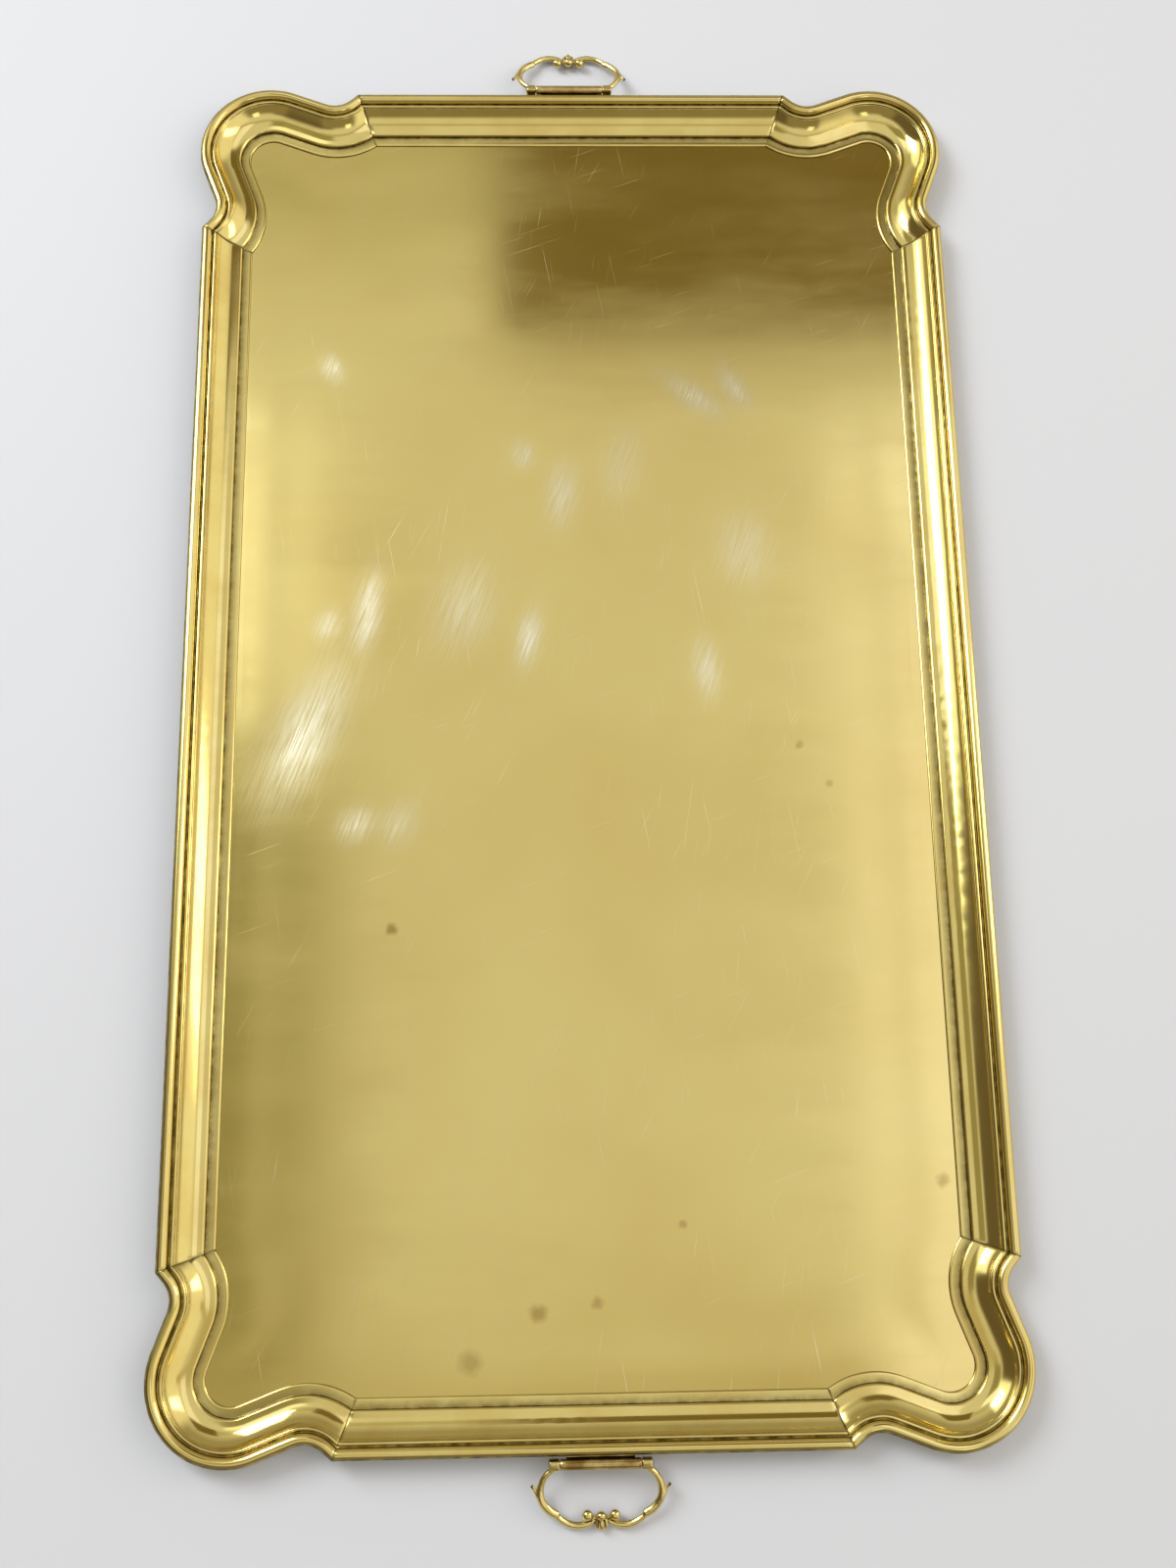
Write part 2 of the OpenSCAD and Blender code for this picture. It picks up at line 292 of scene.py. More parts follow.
def sweptBorder(name, placed, section, grime, material, hammered=()):
    # placed: one array of world x and y in millimetres for each ring, a column for each section point
    m = moulding
    grid = np.array(placed)
    rings, around = grid.shape[:2]
    heights = np.tile(section[:, 1], (rings, 1))
    middle = grid[:, around // 2]
    steps = np.linalg.norm(np.diff(middle, axis=0), axis=1)
    along = np.concatenate([[0], np.cumsum(steps)])
    fromJoint = np.minimum(along, along[-1] - along)
    sink = m["jointDepth"] * np.exp(-(fromJoint / m["jointWidth"]) ** 2)
    wave = np.zeros((rings, around))
    for i in range(rings):
        for j in range(0, around, 4):
            x, y = grid[i, j] / m["waveLength"]
            wave[i, j:j + 4] = noise.noise(Vector((x, y, 0.3 * j / around)))
    for low, high, depth in hammered:
        place = grid[:, 0, 1] if "left" in name or "right" in name else grid[:, 0, 0]
        fade = np.clip((place - low) / hammer["fade"], 0, 1) * np.clip((high - place) / hammer["fade"], 0, 1)
        inCove = np.nonzero((section[:, 0] > hammer["coveFrom"]) & (section[:, 0] < hammer["coveTo"]))[0]
        for i in np.nonzero(fade)[0]:
            for j in inCove:
                x, y = grid[i, j]
                mark = noise.cell(Vector((x / hammer["markSize"], y / hammer["markSize"], 2.0)))
                blow = noise.noise(Vector((x / hammer["dentSize"], y / hammer["dentSize"], 7.0 + mark)))
                wave[i, j] += fade[i] * depth / m["waveDepth"] * blow
    shift = m["waveDepth"] * wave
    shift[heights < seatHeight + 0.3] = 0  # the foot stays flat on its seat
    shift[:, section[:, 1] > rimTop - m["beadCalm"]] -= 0.5 * m["waveDepth"]
    heights = np.minimum(heights + shift - sink[:, None] * (heights > m["jointAbove"]), rimTop)
    points = np.concatenate([grid, heights[:, :, None]], -1).reshape(-1, 3) * mm
    piece = addPiece(name, points, loftFaces(rings, around), "tray", name, material)
    outward = grid[:, 0] - middle
    # Painted shade: a dark band round the outside of the bead stands in for shade and a dark reflection,
    # weaker on the right side. It goes into the grime attribute with the tarnish lines and the dark solder
    # joints.
    facing = 1 - m["lessShadeRight"] * np.clip(outward[:, 0] / np.linalg.norm(outward, axis=1), 0, 1)
    edge = (section[:, 1] > m["edgeShadeFrom"]) * np.exp(-(section[:, 0] / m["edgeShadeWidth"]) ** 2)
    grimeAndShade = np.maximum(grime[None, :], facing[:, None] * edge[None, :])
    grimeAndShade = np.maximum(grimeAndShade, m["jointDirt"] * np.exp(-(fromJoint / m["jointDirtWidth"]) ** 2)[:, None])
    paint(piece.data, "grime", grimeAndShade.reshape(-1))
    fixNormals(piece)


def borderPieces(material):
    section, grime = mouldingSection()
    inset = section[:, 0]
    for side in (-1, 1):
        long = [np.stack([side * (halfWidth - r[:, 0]), r[:, 1]], -1) for r in sideRings(inset, halfLength)]
        short = [np.stack([r[:, 1], side * (halfLength - r[:, 0])], -1) for r in sideRings(inset, halfWidth)]
        names = ("rim_left", "rim_near") if side < 0 else ("rim_right", "rim_far")
        for name, rings in zip(names, (long, short)):
            marks = [mark for node, *mark in planished if node == name]
            sweptBorder(name, rings, section, grime, material, marks)
        for end in (-1, 1):
            name = "corner_" + ("near_" if end < 0 else "far_") + ("left" if side < 0 else "right")
            rings = [
                np.stack([side * (halfWidth - r[:, 0]), end * (halfLength - r[:, 1])], -1)
                for r in cornerRings(inset)
            ]
            sweptBorder(name, rings, section, grime, material)


def fixNormals(piece):
    work = bmesh.new()
    work.from_mesh(piece.data)
    bmesh.ops.recalc_face_normals(work, faces=work.faces)
    work.to_mesh(piece.data)
    work.free()


# Flat sheet: planished flat by hand, so it keeps a slow wave that bends what it mirrors
sheet = {
    "gridStep": 6.0,
    "edgeRoom": 4.0,
    "seatRoom": 0.3,
    "waveDepth": 0.08,
    "waveLength": 210.0,
    "rippleDepth": 0.006,
    "rippleLength": 45.0,
    "edgeRise": 0.25,  # pulled up a little where it was soldered
    "edgeReach": 16.0,
    "calmReach": 8.0,  # the wave dies out this near the border
    "risePlace": 6.0,
}


def outline(inset):
    # The tray's outline moved inwards, all the way round, anticlockwise
    one = np.array([ring[0] for ring in cornerRings(np.array([inset]))])
    nearLeft = np.stack([one[:, 0] - halfWidth, one[:, 1] - halfLength], -1)
    nearRight = nearLeft[::-1] * [-1, 1]
    farRight = nearLeft * [-1, -1]
    farLeft = nearLeft[::-1] * [1, -1]
    return np.concatenate([nearLeft, nearRight, farRight, farLeft])


def fillOutline(loops, inside):
    points = [Vector(p) for loop in loops for p in loop] + [Vector(p) for p in inside]
    edges = []
    start = 0
    for loop in loops:
        count = len(loop)
        edges += [(start + i, start + (i + 1) % count) for i in range(count)]
        start += count
    return geometry.delaunay_2d_cdt(points, edges, [], 1, 1e-5)


def toSides(places):
    # Distance inwards from the nearest straight lip
    return np.min([halfWidth - lipInset, halfLength - lipInset] - np.abs(places), axis=1)


def insideGrid(edge, room, step):
    low, high = edge.min(0), edge.max(0)
    xs = np.arange(low[0] + step / 2, high[0], step)
    ys = np.arange(low[1] + step / 2, high[1], step)
    gridX, gridY = np.meshgrid(xs, ys)
    gridX[1::2] += step / 2
    cells = np.stack([gridX.ravel(), gridY.ravel()], -1)
    distance = np.min(np.linalg.norm(cells[:, None] - edge[None], axis=2), axis=1)
    crossings = np.zeros(len(cells), int)
    for a, d in zip(edge, np.roll(edge, -1, 0) - edge):
        if d[1] == 0:
            continue
        t = (cells[:, 1] - a[1]) / d[1]
        crossings += (t >= 0) & (t < 1) & (a[0] + t * d[0] > cells[:, 0])
    keep = (crossings % 2 == 1) & (distance > room) & (toSides(cells) > room - 1)
    return cells[keep]


def baseSheet(material):
    s = sheet
    edge = outline(lipInset + s["seatRoom"])
    foot = outline(sheetInset)
    inside = insideGrid(edge, s["edgeRoom"], s["gridStep"])
    top = fillOutline([edge], inside)
    flat = np.array([(p.x, p.y) for p in top[0]])
    toEdge = np.array([np.min(np.hypot(*(edge - p).T)) for p in flat])
    toEdge = np.minimum(toEdge, np.maximum(toSides(flat), 0))
    calm = np.clip(toEdge / s["calmReach"], 0, 1)
    wave = np.array([
        s["waveDepth"] * noise.noise(Vector((x / s["waveLength"], y / s["waveLength"], 3.1)))
        + s["rippleDepth"] * noise.noise(Vector((x / s["rippleLength"], y / s["rippleLength"], 8.4)))
        for x, y in flat
    ])
    rise = s["edgeRise"] * np.exp(-((toEdge - s["risePlace"]) / s["edgeReach"]) ** 2)
    heights = sheetTop + calm * (wave - s["waveDepth"] * 0.5 - s["edgeRise"] + rise)
    points = [(x, y, z) for (x, y), z in zip(flat, heights)]
    faces = [tuple(f) for f in top[2]]
    loops = [
        [(x, y, sheetTop) for x, y in edge],
        [(x, y, seatHeight) for x, y in edge],
        [(x, y, seatHeight) for x, y in foot],
        [(x, y, 0) for x, y in foot],
    ]
    starts = []
    for loop in loops:
        starts.append(len(points))
        points += loop
    count = len(edge)
    for a, b in zip(starts, starts[1:]):
        faces += [(a + i, b + i, b + (i + 1) % count, a + (i + 1) % count) for i in range(count)]
    under = fillOutline([foot], [])
    base = len(points)
    points += [(p.x, p.y, 0) for p in under[0]]
    faces += [tuple(base + i for i in reversed(f)) for f in under[2]]
    placed = np.array(points) * mm
    piece = addPiece("base_sheet", placed, faces, "tray", "base_sheet", material)
    weld(piece, 0.005 * mm)
    paintWipesAndReflections(piece)


def readVectors(mesh, name):
    values = np.zeros(len(mesh.vertices) * 3)
    mesh.vertices.foreach_get(name, values)
    return values.reshape(-1, 3)


def paintWipesAndReflections(piece):
    x, y = readVectors(piece.data, "co")[:, :2].T / mm
    # mask of the polishing-cloth smears, used for their roughness and for their painted pale reflection
    wipeHazeAndReflection = np.zeros(len(x))
    for wipeX, wipeY, length, width, angle, strength in sheetFinish["hazeWipesAndReflections"]:
        c, s = math.cos(math.radians(angle)), math.sin(math.radians(angle))
        along, across = (x - wipeX) * c + (y - wipeY) * s, (y - wipeY) * c - (x - wipeX) * s
        wipeHazeAndReflection = np.maximum(wipeHazeAndReflection, strength * np.exp(-(along / length) ** 2 * 2 - (across / width) ** 2 * 2))
    paint(piece.data, "wipeHazeAndReflection", wipeHazeAndReflection)


sharpAngle = math.radians(40)


def weld(piece, distance):
    work = bmesh.new()
    work.from_mesh(piece.data)
    bmesh.ops.remove_doubles(work, verts=work.verts, dist=distance)
    bmesh.ops.recalc_face_normals(work, faces=work.faces)
    for edge in work.edges:
        if len(edge.link_faces) == 2 and edge.calc_face_angle() > sharpAngle:
            edge.smooth = False
    work.to_mesh(piece.data)
    work.free()


# Hinge: a strap rolled into a knuckle, closed on itself, and bent in below the rim
hinge = {
    "knuckleLength": 40.0,
    "knuckleRadius": 2.7,
    "bore": 1.56,
    "strapWidth": 34.0,
    "strapDrop": 3.0,
    "strapReach": 14.0,
    "strapMerge": 0.12,  # length in which the strap leaves the knuckle
    "strapBend": 1.7,
    "innerBend": 0.56,
    "rollEnd": 302.5,  # degrees
    "unevenness": 0.05,
    "pinRadius": 1.5,
    "pinHead": 1.95,
    "pinHeadHeight": 0.42,
    "pinHalf": 25.6,
}

# Cast bail: stations of its left half as sideways place, distance from the hinge, half width and half height
bail = {
    "droop": math.radians(17.3),
    "earFrom": 20.4,
    "earTo": 25.6,
    "earHalfLength": 2.5,
    "earHalfHeight": 2.5,
    "earBore": 1.52,
    "earSquareness": 5,
    "flatBack": 1.85,
    "voxel": 0.3,
    "smoothing": 4,
    "thornEnd": 33.0,  # the tips beyond this are dark
    "underShadeBelow": 0.6,  # below this depth under the pin its underside is painted dark, as painted shade
    "pitDepth": 0.035,
    "pitsPerMm": 0.9,
    "hollowStart": 0.35,
    "hollowDepth": 0.022,
    "sideArm": [
        (-22.9, 0.47, 1.75, 1.7), (-24.4, 2.68, 1.6, 1.6), (-26.7, 4.88, 1.55, 1.6),
        (-28.9, 8.03, 1.65, 1.7), (-30, 11.58, 1.8, 1.75), (-30.2, 14.83, 1.95, 1.8),
        (-29.5, 17.99, 2, 1.85), (-27.9, 20.76, 2.1, 1.85), (-25.6, 23.25, 2.2, 1.9),
        (-23.2, 24.88, 2.25, 1.9), (-21.9, 25.55, 2.1, 1.8), (-21.2, 26.03, 1.3, 1.4),
    ],
    "footArm": [
        (-23, 24.69, 1.3, 1.2), (-21.6, 26.31, 1.55, 1.45), (-19.5, 28.13, 1.7, 1.6),
        (-16.6, 29.85, 1.85, 1.75), (-13.2, 30.91, 1.95, 1.8), (-9.8, 31, 1.9, 1.75),
        (-6.9, 30.43, 1.55, 1.5), (-4.6, 29.38, 1.1, 1.15), (-3.3, 28.23, 0.75, 0.85),
    ],
    "thorn": [
        (-30.4, 17.13, 1.5, 1.3), (-31.3, 15.4, 1.25, 1.1), (-32.3, 13.49, 0.95, 0.9),
        (-33.1, 11.96, 0.8, 0.85), (-33.8, 10.91, 0.9, 1), (-34.3, 10.33, 0.95, 1.05),
    ],
    "petal": [
        (-0.8, 25.64, 1, 1.2), (-1.8, 27.56, 1.15, 1.3), (-2.3, 29.47, 1.2, 1.3),
        (-2.2, 31.29, 1.2, 1.25), (-1.3, 32.63, 1.15, 1.1),
    ],
    "beads": [
        (-6.8, 25.74, 0.35, 2.75, 2.75, 2.6), (6.8, 25.74, 0.35, 2.75, 2.75, 2.6),
        (0, 26.03, 0.45, 2.6, 2.3, 2.6), (0, 30.14, 0.3, 1.75, 3.7, 2.6),
        (-4.6, 27.56, -0.2, 1.3, 1.5, 1.2), (4.6, 27.56, -0.2, 1.3, 1.5, 1.2),
    ],
}


def smoothStations(stations, between=5):
    # Catmull-Rom curve through the stations
    given = np.array(stations, float)
    padded = np.concatenate([[2 * given[0] - given[1]], given, [2 * given[-1] - given[-2]]])
    rows = []
    for i in range(1, len(padded) - 2):
        a, b, c, d = padded[i - 1:i + 3]
        for t in np.arange(between) / between:
            rows.append(0.5 * (2 * b + (c - a) * t + (2 * a - 5 * b + 4 * c - d) * t ** 2
                               + (3 * b - a - 3 * c + d) * t ** 3))
    rows.append(given[-1])
    return np.array(rows)


def armMesh(stations, mirror, ridge=0.35):
    # A rod with a flat back and a soft ridge on top
    rows = smoothStations(stations)
    path = np.stack([rows[:, 0] * mirror, -rows[:, 1]], -1)
    heading = np.gradient(path, axis=0)
    heading /= np.linalg.norm(heading, axis=1)[:, None]
    sideways = np.stack([-heading[:, 1], heading[:, 0]], -1)
    around = 20
    points = []
    for centre, side, (_, _, width, height) in zip(path, sideways, rows):
        for k in range(around):
            angle = 2 * math.pi * k / around
            across, up = math.cos(angle), math.sin(angle)
            lift = (1 - ridge) * up + ridge * (1 - abs(across)) if up > 0 else 0.9 * up
            x, y = centre + side * width * across
            points.append((x, y, height * lift))
    return points, loftFaces(len(rows), around)


def beadMesh(x, t, lift, rx, ry, rz, rings=14, around=20):
    points = [(x, -t, lift + rz)]
    for i in range(1, rings):
        polar = math.pi * i / rings
        for k in range(around):
            angle = 2 * math.pi * k / around
            points.append((
                x + rx * math.sin(polar) * math.cos(angle),
                -t + ry * math.sin(polar) * math.sin(angle),
                lift + rz * math.cos(polar),
            ))
    points.append((x, -t, lift - rz))
    faces = [(0, 1 + k, 1 + (k + 1) % around) for k in range(around)]
    for i in range(rings - 2):
        a, b = 1 + i * around, 1 + (i + 1) * around
        faces += [(a + k, b + k, b + (k + 1) % around, a + (k + 1) % around) for k in range(around)]
    last, tail = len(points) - 1, 1 + (rings - 2) * around
    faces += [(last, tail + (k + 1) % around, tail + k) for k in range(around)]
    return points, faces


def earMesh(side):
    # Square ear with soft corners, bored for the pin
    b = bail
    around = 32
    power = b["earSquareness"]
    stations = [(b["earFrom"], 0.9), (b["earFrom"] + 0.35, 1.0), (b["earTo"] - 0.5, 1.0), (b["earTo"], 0.88)]
    rings = []
    for x, size in stations:
        ring = []
        for k in range(around):
            angle = 2 * math.pi * k / around
            c, s = math.cos(angle), math.sin(angle)
            reach = size * (abs(c) ** power + abs(s) ** power) ** (-1 / power)
            ring.append((side * x, reach * c * b["earHalfLength"], reach * s * b["earHalfHeight"]))
        rings.append(ring)
    for x in (b["earTo"], b["earFrom"]):
        rings.append([
            (side * x, b["earBore"] * math.cos(angle), b["earBore"] * math.sin(angle))
            for angle in [2 * math.pi * k / around for k in range(around)]
        ])
    points = [p for ring in rings for p in ring]
    faces = []
    for i in range(len(rings)):
        faces += ringFaces(i * around, (i + 1) % len(rings) * around, around)
    return points, faces


def castBail(name, hingeName, end, material):
    b = bail
    parts = [earMesh(-1), earMesh(1)]
    for mirror in (1, -1):
        parts += [armMesh(b[key], mirror) for key in ("sideArm", "footArm", "thorn", "petal")]
    parts += [beadMesh(*bead) for bead in b["beads"]]
    points, faces = [], []
    for partPoints, partFaces in parts:
        start = len(points)
        points += partPoints
        faces += [tuple(start + i for i in f) for f in partFaces]
    mesh = bpy.data.meshes.new(name + "_pattern")
    mesh.from_pydata(points, [], faces)
    pattern = bpy.data.objects.new(name + "_pattern", mesh)
    bpy.context.collection.objects.link(pattern)
    fixNormals(pattern)
    remesh = pattern.modifiers.new("blend", "REMESH")
    remesh.mode = "VOXEL"
    remesh.voxel_size = b["voxel"]
    soften = pattern.modifiers.new("soften", "SMOOTH")
    soften.factor = 0.5
    soften.iterations = b["smoothing"]
    depsgraph = bpy.context.evaluated_depsgraph_get()
    cast = bpy.data.meshes.new_from_object(pattern.evaluated_get(depsgraph))
    bpy.data.objects.remove(pattern)
    local, normals = readVectors(cast, "co"), readVectors(cast, "normal")
    pairs = np.zeros(len(cast.edges) * 2, int)
    cast.edges.foreach_get("vertices", pairs)
    pairs = pairs.reshape(-1, 2)
    hollow = hollowness(local, normals, pairs)
    # painted shade: the underside is darkened together with the brown hollows
    hollow = np.maximum(hollow, np.clip(-b["underShadeBelow"] - local[:, 2], 0, 1))
    hollow = np.maximum(hollow, np.clip(np.abs(local[:, 0]) - b["thornEnd"], 0, 1))
    tooLow = (local[:, 2] < -b["flatBack"]) & (local[:, 1] < -b["earHalfLength"])
    local[tooLow, 2] = -b["flatBack"]
    pits = np.array([noise.noise(Vector(p) * b["pitsPerMm"] + Vector((0, 0, 5 * end))) for p in local])
    local += normals * (b["pitDepth"] * pits)[:, None]
    c, s = math.cos(b["droop"]), math.sin(b["droop"])
    x = local[:, 0]
    y = local[:, 1] * c - local[:, 2] * s
    z = local[:, 1] * s + local[:, 2] * c
    turned = np.stack([-end * x, -end * y, z], -1) + hinges[hingeName]
    polygons = [tuple(p.vertices) for p in cast.polygons]
    bpy.data.meshes.remove(cast)
    body = "near_bail" if end < 0 else "far_bail"
    piece = addPiece(name, turned * mm, polygons, body, name, material)
    paint(piece.data, "hollow", hollow)


def hollowness(points, normals, pairs):
    # How far each vertex lies below its neighbourhood, widened and scaled to 0..1
    count = len(points)
    number = np.bincount(pairs.ravel(), minlength=count).clip(1)

    def spread(values):
        total = np.bincount(pairs[:, 0], values[pairs[:, 1]], count)
        total += np.bincount(pairs[:, 1], values[pairs[:, 0]], count)
        return total / number

    mean = np.stack([spread(points[:, k]) for k in range(3)], -1)
    depth = np.einsum("ij,ij->i", mean - points, normals)
    for _ in range(6):
        depth = 0.4 * depth + 0.6 * spread(depth)
    return np.clip(bail["hollowStart"] + depth / bail["hollowDepth"], 0, 1)


def hingeLeaf(name, hingeName, end, material):
    h = hinge
    tube = arc((0, 0), h["knuckleRadius"], 0, h["rollEnd"], 36)
    bore = arc((0, 0), h["bore"], h["rollEnd"], 0, 30)
    metal = h["knuckleRadius"] - h["bore"]
    outer, inner = h["strapBend"], h["innerBend"]
    outerBend = arc((h["bore"] + outer, -h["strapDrop"] - metal + outer), outer, 180, 270, 6)
    innerBend = arc((h["knuckleRadius"] + inner, -h["strapDrop"] + inner), inner, 270, 180, 6)
    reach = [(h["strapReach"], -h["strapDrop"] - metal), (h["strapReach"], -h["strapDrop"])]
    strap = np.concatenate([outerBend, reach, innerBend])
    section = np.concatenate([tube, bore, strap])
    closing = np.concatenate([
        arc((0, 0), h["bore"], 0, -50, len(outerBend)),
        arc((0, 0), h["knuckleRadius"], -50, 0, len(innerBend)),
    ])
    plainTube = np.concatenate([tube, bore, closing])
    half, strapHalf = h["knuckleLength"] / 2, h["strapWidth"] / 2
    # Place along the pin, 1 where the strap is joined on, and size of the section
    stations = [(-half, 0, 0.95), (-half + 0.25, 0, 1)]
    stations += [(-strapHalf - h["strapMerge"], 0, 1), (-strapHalf, 1, 1)]
    stations += [(x, 1, 1) for x in np.linspace(-strapHalf + 2, strapHalf - 2, 13)]
    stations += [(-x, on, size) for x, on, size in stations[3::-1]]
    points = []
    for x, on, size in stations:
        ring = section * on + plainTube * (1 - on)
        wobble = h["unevenness"] * noise.noise(Vector((x / 9, 3.0 * end, 0)))
        for y, z in ring:
            points.append((-end * x, -end * y * size, z * size + wobble * (y < 3)))
    faces = loftFaces(len(stations), len(section))
    placed = (np.array(points) + hinges[hingeName]) * mm
    piece = addPiece(name, placed, faces, "tray", name, material)
    weld(piece, 0.001 * mm)


def hingePin(name, hingeName, end, material):
    # A drawn pin whose two ends were peened into low heads
    h = hinge
    half, head, height = h["pinHalf"], h["pinHead"], h["pinHeadHeight"]
    shape = [(half + height * math.cos(a), head * math.sin(a)) for a in np.radians([10, 30, 50, 70, 85])]
    shape += [(half + 0.01, head), (half + 0.01, h["pinRadius"])]
    stations = shape + [(x, h["pinRadius"]) for x in np.linspace(half - 0.5, -half + 0.5, 9)]
    stations += [(-x, r) for x, r in shape[::-1]]
    around = 28
    points = [
        (x, r * math.cos(2 * math.pi * k / around), r * math.sin(2 * math.pi * k / around))
        for x, r in stations for k in range(around)
    ]
    faces = loftFaces(len(stations), around)
    placed = (np.array(points) + hinges[hingeName]) * mm
    body = "near_bail" if end < 0 else "far_bail"
    piece = addPiece(name, placed, faces, body, name, material)
    weld(piece, 0.0001 * mm)


# Polished brass sheet: a mirror that years of rubbing have turned a little hazy, with streaky smears from the
# polishing cloth that are rougher and also painted pale as a painted reflection, fine scratches and a few
# brown stains
sheetFinish = {
    "brass": "#E3CE82",
    "warm": "#DCC478",
    "pale": "#F6F2DC",
    "stain": "#8C6A30",
    "clearRoughness": 0.09,
    "hazeRoughness": 0.19,
    "hazeSize": 95.0,
    "hazeTurn": -75,
    "hazeStretch": (0.35, 1.6, 1),
    "hazeRange": (0.42, 0.72),
    "toneSize": 140.0,
    "toneRange": (0.35, 0.7),
    "streakWidth": 1.1,
    "streakLength": 26.0,
    "streakTurn": -70,
    "streakRange": (0.25, 0.65),
    "scratchWidth": 0.7,  # real ones are finer than 0.1 mm: drawn as coarse as shows
    "scratchLength": 70.0,
    "scratchDepth": 0.02,
    "scratchTurns": ((-62, 0.0), (-81, 3.1), (-100, 6.7), (-20, 9.2)),  # angle and place in the noise
    "scratchRange": (0.70, 0.80),
    "scratchPale": 0.55,
    "paleRoughness": 0.28,  # added where it is scratched or wiped
    "speckSize": 9.0,
    "speckRange": (0.76, 0.84),
    "speckStrength": 0.6,
    "raggedSize": 4.0,  # unevenness of the edges of the stains
    # x, y, half length, half width, angle, strength
    # smears from the polishing cloth: rougher, and painted pale as a painted reflection
    "hazeWipesAndReflections": [
        (-143, 211, 12, 7, 120, 0.9), (69, 192, 26, 9, -38, 0.75), (93, 198, 20, 8, -60, 0.7),
        (-31, 155, 10, 8, 90, 0.8), (-9, 130, 24, 11, 85, 0.7), (-120, 58, 30, 9, 80, 1.0),
        (-142, 51, 12, 8, 60, 0.7), (-29, 43, 22, 8, 80, 1.0), (-65, 62, 34, 22, 70, 0.5),
        (71, 24, 20, 9, 95, 0.8), (-153, -13, 52, 20, 65, 1.0), (-124, -64, 14, 11, 45, 0.8),
        (-101, -64, 18, 13, 60, 0.5), (95, 96, 28, 20, 90, 0.45), (26, 150, 30, 16, 80, 0.35),
    ],
    "stainEdge": (1.3, 0.4),  # where it starts and where it is full, as shares of its radius
    # x, y, radius, strength
    "stains": [
        (-104, -122, 3.2, 0.6), (-27, -321, 4.5, 0.5), (-62, -344, 6.0, 0.35), (3, -316, 3.0, 0.4),
        (185, -258, 3.6, 0.45), (48, -278, 2.4, 0.4), (121, -21, 2.2, 0.35), (137, -44, 2.0, 0.3),
    ],
}


def scratchLayer(tree, place, angle, width, length, seed, limits):
    turned = addNode(tree, "Mapping", {"Rotation": (0, 0, math.radians(angle)), "Location": (seed, 0, 0)},
                     {"Vector": place})
    stretched = addNode(tree, "Mapping", {"Scale": (perMetre(length), perMetre(width), 1)},
                        {"Vector": turned.outputs[0]})
    lines = addNode(tree, "TexNoise", {"Scale": 1.0, "Detail": 2.0, "Roughness": 0.6},
                    {"Vector": stretched.outputs[0]})
    return addNode(tree, "MapRange", {"From Min": limits[0], "From Max": limits[1]},
                   {"Value": lines.outputs["Fac"]}).outputs[0]


def highest(tree, masks):
    top = masks[0]
    for mask in masks[1:]:
        top = addNode(tree, "Math", {"operation": "MAXIMUM"}, {0: top, 1: mask}).outputs[0]
    return top


